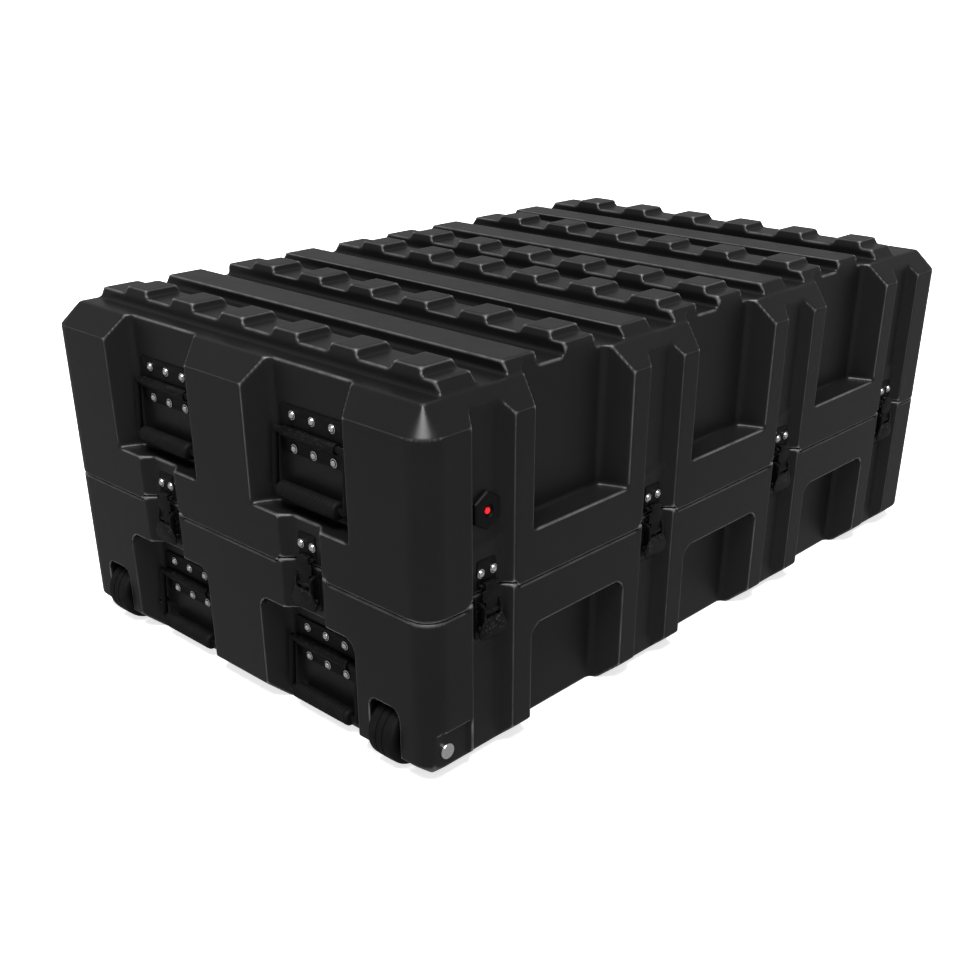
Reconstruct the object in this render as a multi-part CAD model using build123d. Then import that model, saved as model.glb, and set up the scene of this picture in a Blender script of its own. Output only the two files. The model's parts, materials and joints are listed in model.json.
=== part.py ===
from build123d import *
import math
import os

# Two-part rotomoulded transit case with draw latches, drop handles and two edge wheels.
# Millimetres. Origin: middle of the footprint on the floor. +X along the case away from
# the wheels, -Y is the front with the relief valve, +Z up.

os.makedirs("parts", exist_ok=True)

# ---------------------------------------------------------------- overall shell
CASE_L = 1300.0            # along X, wheel end at -X
CASE_W = 812.0             # along Y
HALF_L = CASE_L / 2
HALF_W = CASE_W / 2
FLOOR_RISE = 28.0          # height of the slanted edge round the underside
PART_Z = 242.0             # level of the joint between base and lid
SHOULDER_Z = 481.0         # where the lid edge starts to slant
LEDGE_Z = 514.0            # flat top of the lid between the bars
CORNER_R = 33.0            # upright corner radius, also the reach of the slanted edges
WALL = 6.0                 # moulded wall
SLANT = math.tan(math.radians(22.5))

# ---------------------------------------------------------------- raised pattern on the lid
BAR_H = 17.5               # flat-topped bars across the case
BAR_W = 62.0
BAR_PITCH = 117.5
BAR_MARGIN = 66.0          # wheel-end wall to the first bar
BAR_START = BAR_MARGIN - HALF_L
BAR_COUNT = int((CASE_L - 2 * BAR_MARGIN - BAR_W) // BAR_PITCH) + 1
BAR_INSET = 2.0            # gap between a bar's foot and the slanted edge
BLOCK_H = 10.5             # square blocks standing on the toothed bars
BLOCK_W = 56.0
BLOCK_PITCH = 116.0
BLOCK_MARGIN = 69.0        # front wall to the first block
BLOCK_START = BLOCK_MARGIN - HALF_W
BLOCK_COUNT = int((CASE_W - 2 * BLOCK_MARGIN - BLOCK_W) // BLOCK_PITCH) + 1
TOOTHED_BARS = (0, 2, 4, 5, 7, 9)
BAR_DRAFT = 20.0           # degrees, slope of the bar ends and block flanks
TOP_Z = LEDGE_Z + BAR_H + BLOCK_H

# ---------------------------------------------------------------- recesses in the walls
SIDE_PITCH = 176.8         # half pitch of the latch channels on the long walls
SIDE_BAY_W = 201.0
SIDE_BAY_FLOOR_W = 166.0
SIDE_BAY_D = 43.0
CHANNEL_W = 77.0
CHANNEL_FLOOR_W = 53.0
CHANNEL_D = 17.0
PAD_D = 14.0               # depth of the flat pads the latches sit on
PAD_LOW_Z = 178.0
PAD_HIGH_Z = 318.0
END_BAY_Y = 163.5          # handle bays on the short walls
END_BAY_W = 201.0
END_BAY_FLOOR_W = 162.0
END_BAY_D = 38.0
LID_BAY_Z = 314.0          # floor of the recesses in the lid
BASE_BAY_Z = 174.0         # roof of the recesses in the base
BAY_ROUND = 22.0           # rounding of the upper corners of the base recesses
FOOT_ROUND = 10.0          # rounding where recess flanks meet their floors
CHANNEL_FOOT_ROUND = 5.0
END_CHANNEL_W = CHANNEL_W + 9.0
PAD_FLOOR_W = CHANNEL_FLOOR_W + 4.0

# ---------------------------------------------------------------- rim and seal
RIM_T = 9.0                # thickness of the inward rim on both halves
RIM_REACH = 54.0           # rim width measured from the outside
JOINT_BEVEL = 2.0          # small bevel that makes the joint line
SEAL_W = 8.0
SEAL_H = 6.0
SEAL_INSET = 38.0          # seal centreline from the outside
SEAL_GROOVE = SEAL_H - 0.6
SEAL_FIT = 0.2
TAB_RISE = 7.5             # tabs of the base that step up into the lid behind each latch
TAB_REACH = 7.0            # how far a tab runs past the mouth of its channel
TAB_DEPTH = 30.0           # from the outside, clear of the seal
TAB_FIT = 0.4

# ---------------------------------------------------------------- wheels
WHEEL_R = 46.0
WHEEL_W = 48.0
WHEEL_LIFT = 2.0           # tread above the floor while the case stands flat
WHEEL_OVERHANG = 12.0      # tread past the end wall
WHEEL_INSET = 88.0         # wheel centre from the long wall
WHEEL_Z = WHEEL_R + WHEEL_LIFT
WHEEL_X = WHEEL_R - WHEEL_OVERHANG - HALF_L
WHEEL_Y = HALF_W - WHEEL_INSET
TREAD_ROUND = 5.0
DISH_D = 62.0
DISH_DEEP = 6.0
HUB_D = 30.0
HUB_FACE_D = 28.0
HUB_GAP = 0.6              # hub face to pocket wall
POCKET_W = 58.0
POCKET_GAP = 7.0
AXLE_D = 12.0
AXLE_FIT = 0.08            # radial running clearance
AXLE_HEAD_D = 23.0
AXLE_HEAD_H = 5.0
AXLE_PAD_D = 6.0           # shallow pad round the axle head
AXLE_PAD_W = 76.0
AXLE_PAD_H = 78.0
NUT_AF = 19.0
NUT_H = 9.0

# ---------------------------------------------------------------- latches (local frame:
# X across, -Y outwards from the pad, Z up from the joint line)
PLATE_T = 1.5
KEEPER_W = 34.0
KEEPER_Z = (16.0, 52.5)
SHELF_Z = 18.0
SHELF_W = 34.0
SHELF_OUT = 7.5
SHELF_T = 2.5
RIVET_D = 13.0
RIVET_H = 4.5
RIVET_SHANK = 5.0
RIVET_PITCH = 23.5
KEEPER_RIVET_Z = 35.5
LATCH_PLATE_W = 45.0
LATCH_PLATE_Z = (-57.0, 2.0)
PLATE_RIVET_Z = -45.0
LEVER_AXIS_OUT = 6.0
LEVER_AXIS_Z = -7.0
LINK_AXIS_OUT = 9.5
LINK_AXIS_Z = -19.0
LEVER_PIN_D = 3.0
LINK_PIN_D = 3.0
PIN_FIT = 0.05             # radial clearance of latch pins
LEVER_BOSS_R = 4.0
LEVER_INNER = 13.5         # half width between the lever cheeks
CHEEK_T = 3.0
LEVER_LOW_W = 53.0
LEVER_WIDEST_UP = 11.0     # height of the widest point above the lever's foot
LEVER_FOOT_IN = 2.5
LEVER_SKIN = (11.5, 13.5)
LEVER_SKIN_Z = (-54.0, -25.0)
HORN_DOWN = 5.0            # the lever's cheeks start this far below its pin
EAR_T = 2.0
EAR_GAP = 0.5
HOOK_W = 22.0
HOOK_T = 2.0
HOOK_EYE_R = 3.0
HOOK_TOP_Z = 23.5
HOOK_PLATE_W = 33.0
HOOK_PLATE_Z = (-2.3, 14.0)
HOOK_LIP_T = 2.5
HOOK_LIP_IN = 3.0

# ---------------------------------------------------------------- handles (local frame:
# X across, -Y outwards from the recess floor, Z up from the pivot)
HANDLE_LID_Z = 421.0
HANDLE_BASE_Z = 108.0
HPLATE_W = 134.0
HPLATE_Z = (-30.0, 35.0)
HPLATE_T = 3.0
BAIL_D = 10.0
BAIL_FIT = 0.05
BAIL_HALF = 72.0
BAIL_DROP = 81.0
BAIL_GAP = 3.5             # bail to recess floor
BAIL_OUT = BAIL_D / 2 + BAIL_GAP
GRIP_D = 25.0
GRIP_GAP = 2.0
GRIP_OUT = GRIP_D / 2 + GRIP_GAP
GRIP_L = 120.0
KNUCKLE_WALL = 2.5
KNUCKLE_D = BAIL_D + 2 * KNUCKLE_WALL
KNUCKLE_L = 108.0
HRIVET_PITCH = 40.0
HRIVET_ROW = 23.0

# ---------------------------------------------------------------- relief valve
VALVE_X = -3 * SIDE_PITCH
VALVE_Z = 361.0
VALVE_AF = 46.0
VALVE_H = 7.0
VALVE_EDGE = 2.0
CUP_D = 19.0
CUP_DEEP = 2.5
VALVE_STEM_D = 26.0
VALVE_STEM_L = 17.0
BUTTON_D = 9.0
BUTTON_L = 11.0
BUTTON_FIT = 0.05
BUTTON_PROUD = 2.0
BORE_DEEP = 20.0
SPRING_D = 7.0
SPRING_WIRE = 0.8
SPRING_TURNS = 5
VALVE_NUT_AF = 36.0
VALVE_NUT_H = 6.0

SIDE_CHANNELS = (-3 * SIDE_PITCH, -SIDE_PITCH, SIDE_PITCH, 3 * SIDE_PITCH)
SIDE_BAYS = (-2 * SIDE_PITCH, 0.0, 2 * SIDE_PITCH)
END_BAYS = (-END_BAY_Y, END_BAY_Y)


def save(shape, name):
    export_step(shape, f"parts/{name}.step")


def block(x0, x1, y0, y1, z0, z1):
    return Pos((x0 + x1) / 2, (y0 + y1) / 2, (z0 + z1) / 2) * Box(x1 - x0, y1 - y0, z1 - z0)


def rod(d, length, axis="Z", at=(0, 0, 0)):
    turn = {"X": Rot(0, 90, 0), "Y": Rot(90, 0, 0), "Z": Rot(0, 0, 0)}[axis]
    return Pos(*at) * turn * Cylinder(d / 2, length)


def wall_frame(side):
    """Frame on an outer wall: X across it, -Y out of it, Z up."""
    spots = {
        "front": Pos(0, -HALF_W, 0),
        "end": Pos(HALF_L, 0, 0) * Rot(0, 0, 90),
        "back": Pos(0, HALF_W, 0) * Rot(0, 0, 180),
        "wheel": Pos(-HALF_L, 0, 0) * Rot(0, 0, -90),
    }
    return spots[side]


def recess(side, centre, width, floor, depth, z0, z1, grow=0.0):
    """Sloping-sided recess cut from outside; grow thickens it for the inner skin."""
    lean = math.hypot(depth, (width - floor) / 2) / depth
    w = width / 2 + grow * lean
    f = floor / 2 + grow * lean
    d = depth + grow
    w = f + (w - f) * depth / d if grow else w
    out = 5.0
    pts = [(-w, -out), (w, -out), (w, 0), (f, d), (-f, d), (-w, 0)]
    face = make_face(Polyline(*pts, close=True))
    if not grow:
        feet = [v for v in face.vertices() if v.Y > d - 0.01]
        face = fillet(feet, FOOT_ROUND if depth > CHANNEL_D else CHANNEL_FOOT_ROUND)
    solid = extrude(Pos(0, 0, z0) * face, z1 - z0)
    return wall_frame(side) * Pos(centre, 0, 0) * solid


def lid_recesses(grow=0.0):
    top = LEDGE_Z + 5 if not grow else LEDGE_Z
    low = PART_Z - 5
    cuts = []
    for side in ("front", "back"):
        for x in SIDE_BAYS:
            cuts.append(recess(side, x, SIDE_BAY_W, SIDE_BAY_FLOOR_W, SIDE_BAY_D,
                               LID_BAY_Z - grow, top + BAR_H + BLOCK_H, grow))
        for x in SIDE_CHANNELS:
            cuts.append(recess(side, x, CHANNEL_W, CHANNEL_FLOOR_W, CHANNEL_D,
                               PAD_HIGH_Z - grow, top, grow))
            cuts.append(recess(side, x, CHANNEL_W, PAD_FLOOR_W, PAD_D,
                               low, PAD_HIGH_Z + 1, grow))
    for side in ("wheel", "end"):
        for y in END_BAYS:
            cuts.append(recess(side, y, END_BAY_W, END_BAY_FLOOR_W, END_BAY_D,
                               LID_BAY_Z - grow, top, grow))
            cuts.append(recess(side, y, END_CHANNEL_W, PAD_FLOOR_W, PAD_D,
                               low, LID_BAY_Z + 1, grow))
    return cuts


def rounded_roof(side, centre, width, z1):
    """Keeps the upper corners of a base recess round: what is left standing there."""
    r = BAY_ROUND
    out = []
    for s in (-1, 1):
        edge = centre + s * width / 2
        corner = block(min(edge, edge - s * r), max(edge, edge - s * r), -5, 80, z1 - r, z1)
        corner -= Pos(edge - s * r, 37.5, z1 - r) * Rot(90, 0, 0) * Cylinder(r, 90)
        out.append(wall_frame(side) * corner)
    return out


def base_recesses(grow=0.0):
    low = -5.0 if not grow else 0.0
    high = PART_Z + TAB_RISE + 5
    cuts = []
    for side in ("front", "back"):
        for x in SIDE_BAYS:
            bay = recess(side, x, SIDE_BAY_W, SIDE_BAY_FLOOR_W, SIDE_BAY_D,
                         low, BASE_BAY_Z + grow, grow)
            if not grow:
                for keep in rounded_roof(side, x, SIDE_BAY_W, BASE_BAY_Z):
                    bay -= keep
            cuts.append(bay)
        for x in SIDE_CHANNELS:
            cuts.append(recess(side, x, CHANNEL_W, CHANNEL_FLOOR_W, CHANNEL_D,
                               low, PAD_LOW_Z + grow, grow))
            cuts.append(recess(side, x, CHANNEL_W, PAD_FLOOR_W, PAD_D,
                               PAD_LOW_Z - 1, high, grow))
    for side in ("wheel", "end"):
        for y in END_BAYS:
            bay = recess(side, y, END_BAY_W, END_BAY_FLOOR_W, END_BAY_D,
                         low, BASE_BAY_Z + grow, grow)
            if not grow:
                for keep in rounded_roof(side, y, END_BAY_W, BASE_BAY_Z):
                    bay -= keep
            cuts.append(bay)
            cuts.append(recess(side, y, END_CHANNEL_W, PAD_FLOOR_W, PAD_D,
                               BASE_BAY_Z - 1, high, grow))
    return cuts


def slab(grow, z0, z1, shrink=0.0):
    """Plain rounded block of the case outline, inset by grow."""
    inset = grow + shrink
    face = RectangleRounded(CASE_L - 2 * inset, CASE_W - 2 * inset, max(CORNER_R - inset, 4.0))
    return extrude(Pos(0, 0, z0) * face, z1 - z0)


def slanted(grow, z0, z1):
    """Loft from the case outline at z0 to the inset outline at z1."""
    reach = CORNER_R - 0.6
    low = RectangleRounded(CASE_L - 2 * grow, CASE_W - 2 * grow, CORNER_R - min(grow, 20.0))
    r2 = max(CORNER_R - min(grow, 20.0) - reach, 0.6)
    high = RectangleRounded(CASE_L - 2 * (grow + reach), CASE_W - 2 * (grow + reach), r2)
    return loft([Pos(0, 0, z0) * low, Pos(0, 0, z1) * high])


def bar_x(i):
    return BAR_START + i * BAR_PITCH


def lid_bars(shrink=0.0):
    """Raised bars; shrink gives the hollow under each."""
    reach = HALF_W - CORNER_R - BAR_INSET
    lean = math.tan(math.radians(BAR_DRAFT))
    out = []
    for i in range(BAR_COUNT):
        x0 = bar_x(i) + shrink
        x1 = bar_x(i) + BAR_W - shrink
        y1 = reach - shrink * 2
        low = LEDGE_Z - shrink * 2
        high = LEDGE_Z + BAR_H - shrink
        top = y1 - (high - low) * lean * 2
        ends = Polyline((-y1, low), (y1, low), (top, high), (-top, high), close=True)
        prism = extrude(Plane.YZ * make_face(ends), x1 - x0)
        out.append(Pos(x0, 0, 0) * prism)
    return out


def lid_blocks():
    lean = BLOCK_H * math.tan(math.radians(BAR_DRAFT))
    out = []
    for i in filter(lambda k: k < BAR_COUNT, TOOTHED_BARS):
        for k in range(BLOCK_COUNT):
            y = BLOCK_START + k * BLOCK_PITCH
            z0 = LEDGE_Z + BAR_H
            low = Pos(bar_x(i) + BAR_W / 2, y + BLOCK_W / 2, z0) * Rectangle(BAR_W, BLOCK_W)
            high = Pos(bar_x(i) + BAR_W / 2, y + BLOCK_W / 2, z0 + BLOCK_H) * Rectangle(
                BAR_W - 2 * lean, BLOCK_W - 2 * lean)
            out.append(loft([low, high]))
    return out


def wheel_pocket(s, grow=0.0):
    w = POCKET_W / 2 + grow
    roof = WHEEL_Z + WHEEL_R + POCKET_GAP + grow
    back = WHEEL_X + WHEEL_R + POCKET_GAP + grow
    y = s * WHEEL_Y
    pocket = block(-HALF_L - 20, back, y - w, y + w, -5, roof)
    if not grow:
        tops = pocket.edges().filter_by(Axis.X).group_by(Axis.Z)[-1]
        pocket = fillet(tops, 16)
    return pocket


def axle_pad(s, grow=0.0):
    """Shallow flat where the axle head sits, at the foot of the wheel-end corner."""
    y0 = s * (HALF_W - AXLE_PAD_D - grow)
    y1 = s * (HALF_W + 5)
    return block(-HALF_L - 5, -HALF_L + AXLE_PAD_W + grow, min(y0, y1), max(y0, y1),
                 -5, AXLE_PAD_H + grow)


def joint_tabs(grow=0.0):
    """Blocks behind the latches where the joint steps up; grow makes the notch or its wall."""
    tabs = []
    for side in ("front", "end", "back", "wheel"):
        long_wall = side in ("front", "back")
        half = (CHANNEL_W if long_wall else END_CHANNEL_W) / 2 + TAB_REACH + grow
        for x in SIDE_CHANNELS if long_wall else END_BAYS:
            tab = block(x - half, x + half, -5, TAB_DEPTH + grow,
                        PART_Z - JOINT_BEVEL - 1, PART_Z + TAB_RISE + grow)
            tabs.append(wall_frame(side) * tab)
    return tabs


def rim_opening(z0, z1):
    inset = RIM_REACH
    return slab(0, z0, z1, inset)


def seal_ring(width, z0, z1):
    outer = slab(0, z0, z1, SEAL_INSET - width / 2)
    return outer - slab(0, z0 - 1, z1 + 1, SEAL_INSET + width / 2)


# ---------------------------------------------------------------- base shell
base = slab(0, FLOOR_RISE, PART_Z) + slanted(0, FLOOR_RISE, 0.0)
for cut in base_recesses():
    base -= cut
for s in (-1, 1):
    base -= wheel_pocket(s)
    base -= axle_pad(s)
joint_edges = [e for e in base.edges() if abs(e.center().Z - PART_Z) < 0.01]
base = chamfer(joint_edges, JOINT_BEVEL)

hollow = slab(WALL, FLOOR_RISE + WALL * SLANT, PART_Z - RIM_T)
hollow += slanted(WALL, FLOOR_RISE + WALL * SLANT, WALL)
for cut in base_recesses(WALL):
    hollow -= cut
for s in (-1, 1):
    hollow -= wheel_pocket(s, WALL)
    hollow -= axle_pad(s, WALL)
base -= hollow
base -= rim_opening(PART_Z - RIM_T - 1, PART_Z + 1)

outline = slab(0, PART_Z - RIM_T, PART_Z + TAB_RISE)
channel_cuts = base_recesses()
for tab in joint_tabs():
    tab = tab & outline
    for cut in channel_cuts:
        tab -= cut
    crown = tab.edges().group_by(Axis.Z)[-1]
    base += chamfer(crown, JOINT_BEVEL)

# ---------------------------------------------------------------- lid shell
lid = slab(0, PART_Z, SHOULDER_Z) + slanted(0, SHOULDER_Z, LEDGE_Z)
for bar in lid_bars():
    lid += bar
for tooth in lid_blocks():
    lid += tooth
for cut in lid_recesses():
    lid -= cut
joint_edges = [e for e in lid.edges() if abs(e.center().Z - PART_Z) < 0.01]
lid = chamfer(joint_edges, JOINT_BEVEL)

hollow = slab(WALL, PART_Z + RIM_T, SHOULDER_Z - WALL * SLANT)
hollow += slanted(WALL, SHOULDER_Z - WALL * SLANT, LEDGE_Z - WALL)
for bar in lid_bars(WALL):
    hollow += bar
for cut in lid_recesses(WALL):
    hollow -= cut
for tab in joint_tabs(TAB_FIT + WALL):
    hollow -= tab
lid -= hollow
for tab in joint_tabs(TAB_FIT):
    lid -= tab
lid -= rim_opening(PART_Z - 1, PART_Z + RIM_T + 1)
lid -= seal_ring(SEAL_W + 2 * SEAL_FIT, PART_Z - 1, PART_Z + SEAL_GROOVE)

seal = seal_ring(SEAL_W, PART_Z + 0.05, PART_Z + SEAL_GROOVE - 0.05)


# ---------------------------------------------------------------- rivets
def rivet(length):
    """Dome-headed rivet, head outwards along -Y, shank through the wall."""
    dome = scale(Sphere(RIVET_D / 2), by=(1, 2 * RIVET_H / RIVET_D, 1))
    dome = dome & block(-RIVET_D, RIVET_D, -RIVET_H - 1, 0, -RIVET_D, RIVET_D)
    return dome + rod(RIVET_SHANK, length, "Y", (0, length / 2, 0))


# ---------------------------------------------------------------- one latch, local frame
def keeper_plate():
    z0, z1 = KEEPER_Z
    plate = block(-KEEPER_W / 2, KEEPER_W / 2, -PLATE_T, 0, z0, z1)
    ends = plate.edges().filter_by(Axis.Y)
    plate = fillet(ends, 3)
    plate += block(-SHELF_W / 2, SHELF_W / 2, -SHELF_OUT, 0, SHELF_Z, SHELF_Z + SHELF_T)
    for s in (-1, 1):
        plate -= rod(RIVET_SHANK, 20, "Y", (s * RIVET_PITCH / 2, 0, KEEPER_RIVET_Z))
    return plate


def latch_plate():
    z0, z1 = LATCH_PLATE_Z
    plate = block(-LATCH_PLATE_W / 2, LATCH_PLATE_W / 2, -PLATE_T, 0, z0, z1)
    plate = fillet(plate.edges().filter_by(Axis.Y), 3)
    x0 = LEVER_INNER + CHEEK_T + EAR_GAP
    for s in (-1, 1):
        ear = rod(2 * LEVER_BOSS_R, EAR_T, "X", (s * (x0 + EAR_T / 2), -LEVER_AXIS_OUT, LEVER_AXIS_Z))
        web = block(x0, x0 + EAR_T, -LEVER_AXIS_OUT, 0, LEVER_AXIS_Z - 8, LEVER_AXIS_Z + 4)
        if s < 0:
            web = mirror(web, Plane.YZ)
        plate += ear + web
        plate -= rod(RIVET_SHANK, 20, "Y", (s * RIVET_PITCH / 2, 0, PLATE_RIVET_Z))
    plate -= rod(LEVER_PIN_D, 80, "X", (0, -LEVER_AXIS_OUT, LEVER_AXIS_Z))
    return plate


def lever_pin():
    half = LEVER_INNER + CHEEK_T + EAR_GAP + EAR_T + 0.8
    return rod(LEVER_PIN_D, 2 * half, "X", (0, -LEVER_AXIS_OUT, LEVER_AXIS_Z))


def latch_lever():
    n0, n1 = LEVER_SKIN
    z0, z1 = LEVER_SKIN_Z
    top = LEVER_INNER + CHEEK_T
    low = LEVER_LOW_W / 2
    foot = low - LEVER_FOOT_IN
    wide_z = z0 + LEVER_WIDEST_UP
    outline = Polyline((-top, z1), (top, z1), (low, wide_z), (foot, z0),
                       (-foot, z0), (-low, wide_z), close=True)
    skin = extrude(Plane.XZ.offset(n0) * make_face(outline), n1 - n0)
    body = fillet(skin.edges().filter_by(Axis.Y).group_by(Axis.Z)[0], 7)
    for s in (-1, 1):
        x0 = LEVER_INNER
        arm = Polyline((-n1, z1 - 12), (-n1, LEVER_AXIS_Z - HORN_DOWN),
                       (-LEVER_AXIS_OUT - 3.6, LEVER_AXIS_Z + 1.6),
                       (-LEVER_AXIS_OUT + 3.4, LEVER_AXIS_Z - 2.0),
                       (-LEVER_AXIS_OUT, z1 - 12), close=True)
        cheek = extrude(Plane.YZ.offset(x0) * make_face(arm), CHEEK_T)
        cheek += rod(2 * LEVER_BOSS_R, CHEEK_T, "X", (x0 + CHEEK_T / 2, -LEVER_AXIS_OUT, LEVER_AXIS_Z))
        if s < 0:
            cheek = mirror(cheek, Plane.YZ)
        body += cheek
    body += rod(LINK_PIN_D, 2 * LEVER_INNER + CHEEK_T, "X", (0, -LINK_AXIS_OUT, LINK_AXIS_Z))
    lip = block(-foot + 6, foot - 6, -n1, -n1 + 5.5, z0, z0 + 2.0)
    body += lip
    body -= rod(LEVER_PIN_D + 2 * PIN_FIT, 80, "X", (0, -LEVER_AXIS_OUT, LEVER_AXIS_Z))
    return body


def latch_hook():
    out = LINK_AXIS_OUT
    front = -out - HOOK_T / 2
    strap = block(-HOOK_W / 2, HOOK_W / 2, front, front + HOOK_T, LINK_AXIS_Z, HOOK_TOP_Z)
    lip = block(-HOOK_W / 2, HOOK_W / 2, front, -HOOK_LIP_IN, HOOK_TOP_Z - HOOK_LIP_T, HOOK_TOP_Z)
    eye = rod(2 * HOOK_EYE_R, HOOK_W, "X", (0, -out, LINK_AXIS_Z))
    p0, p1 = HOOK_PLATE_Z
    cross = block(-HOOK_PLATE_W / 2, HOOK_PLATE_W / 2, front, front + HOOK_T, p0, p1)
    hook = strap + fillet(cross.edges().filter_by(Axis.Y), 2.5) + lip + eye
    corner = [e for e in hook.edges().filter_by(Axis.X)
              if abs(e.center().Z - HOOK_TOP_Z) < 0.01 and e.center().Y < -out]
    hook = fillet(corner, 1.8)
    hook -= rod(LINK_PIN_D + 2 * PIN_FIT, 60, "X", (0, -out, LINK_AXIS_Z))
    return hook


def latch_frames():
    """Pad frames of all latches, front first, then the far end, the back and the wheel end."""
    frames = []
    for side in ("front", "end", "back", "wheel"):
        spots = SIDE_CHANNELS if side in ("front", "back") else END_BAYS
        for x in spots:
            frames.append(wall_frame(side) * Pos(x, PAD_D, PART_Z))
    return frames


# ---------------------------------------------------------------- one handle, local frame
def handle_plate():
    z0, z1 = HPLATE_Z
    plate = block(-HPLATE_W / 2, HPLATE_W / 2, -HPLATE_T, 0, z0, z1)
    plate = fillet(plate.edges().filter_by(Axis.Y), 6)
    plate += rod(KNUCKLE_D, KNUCKLE_L, "X", (0, -BAIL_OUT, 0))
    plate += block(-KNUCKLE_L / 2, KNUCKLE_L / 2, -BAIL_OUT, 0, -3, 3)
    plate -= rod(BAIL_D + 2 * BAIL_FIT, HPLATE_W + 20, "X", (0, -BAIL_OUT, 0))
    for i in (-1, 0, 1):
        for s in (-1, 1):
            plate -= rod(RIVET_SHANK, 20, "Y", (i * HRIVET_PITCH, 0, s * HRIVET_ROW))
    return plate


def handle_bail():
    """Bent bar: pivot rod, two legs and the bar inside the grip."""
    top = (0, -BAIL_OUT, 0)
    low_y = -GRIP_OUT
    pivot = rod(BAIL_D, 2 * BAIL_HALF, "X", top)
    bar = rod(BAIL_D, 2 * BAIL_HALF, "X", (0, low_y, -BAIL_DROP))
    body = pivot + bar
    length = math.hypot(BAIL_DROP, GRIP_OUT - BAIL_OUT)
    tilt = math.degrees(math.atan2(GRIP_OUT - BAIL_OUT, BAIL_DROP))
    for s in (-1, 1):
        leg = Pos(s * BAIL_HALF, -(GRIP_OUT + BAIL_OUT) / 2, -BAIL_DROP / 2)
        leg = leg * Rot(-tilt, 0, 0) * Cylinder(BAIL_D / 2, length)
        body += leg
        body += Pos(s * BAIL_HALF, -BAIL_OUT, 0) * Sphere(BAIL_D / 2)
        body += Pos(s * BAIL_HALF, low_y, -BAIL_DROP) * Sphere(BAIL_D / 2)
    return body


def handle_grip():
    grip = rod(GRIP_D, GRIP_L, "X", (0, -GRIP_OUT, -BAIL_DROP))
    grip = fillet(grip.edges().filter_by(GeomType.CIRCLE), 4)
    return grip - rod(BAIL_D, GRIP_L + 10, "X", (0, -GRIP_OUT, -BAIL_DROP))


def handle_frames():
    """Recess-floor frames: lid then base at the wheel end, then lid and base at the far end."""
    frames = []
    for side in ("wheel", "end"):
        for z in (HANDLE_LID_Z, HANDLE_BASE_Z):
            for y in END_BAYS:
                frames.append((z, wall_frame(side) * Pos(y, END_BAY_D, z)))
    return frames


# ---------------------------------------------------------------- fit the hardware
keepers = []
plates = []
pins = []
lid_rivets = []
base_rivets = []
for n, frame in enumerate(latch_frames(), start=1):
    keepers.append(frame * keeper_plate())
    plates.append(frame * latch_plate())
    pins.append(frame * lever_pin())
    save(frame * latch_lever(), f"latch_lever_{n:02d}")
    save(frame * latch_hook(), f"latch_hook_{n:02d}")
    for s in (-1, 1):
        lid_rivets.append(frame * Pos(s * RIVET_PITCH / 2, -PLATE_T, KEEPER_RIVET_Z) * rivet(WALL + 5))
        spot = frame * Pos(s * RIVET_PITCH / 2, -PLATE_T, PLATE_RIVET_Z)
        base_rivets.append(spot * rivet(WALL + 5))

lid_handles = []
base_handles = []
for n, (z, frame) in enumerate(handle_frames(), start=1):
    plates_here = lid_handles if z == HANDLE_LID_Z else base_handles
    rivets_here = lid_rivets if z == HANDLE_LID_Z else base_rivets
    plates_here.append(frame * handle_plate())
    save(frame * handle_bail(), f"handle_bail_{n}")
    save(frame * handle_grip(), f"handle_grip_{n}")
    for i in (-1, 0, 1):
        for s in (-1, 1):
            spot = frame * Pos(i * HRIVET_PITCH, -HPLATE_T, s * HRIVET_ROW)
            rivets_here.append(spot * rivet(WALL + 7))


def shank_holes(rivets):
    """Holes through a shell for the shanks of the given rivets."""
    holes = []
    for r in rivets:
        ends = [f for f in r.faces() if f.geom_type == GeomType.CYLINDER]
        shank = max(ends, key=lambda f: f.area)
        box = shank.bounding_box()
        mid = box.center()
        along = "X" if box.size.X > box.size.Y else "Y"
        holes.append(rod(RIVET_SHANK, 40, along, (mid.X, mid.Y, mid.Z)))
    return holes


lid -= shank_holes(lid_rivets)
base -= shank_holes(base_rivets)

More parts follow.
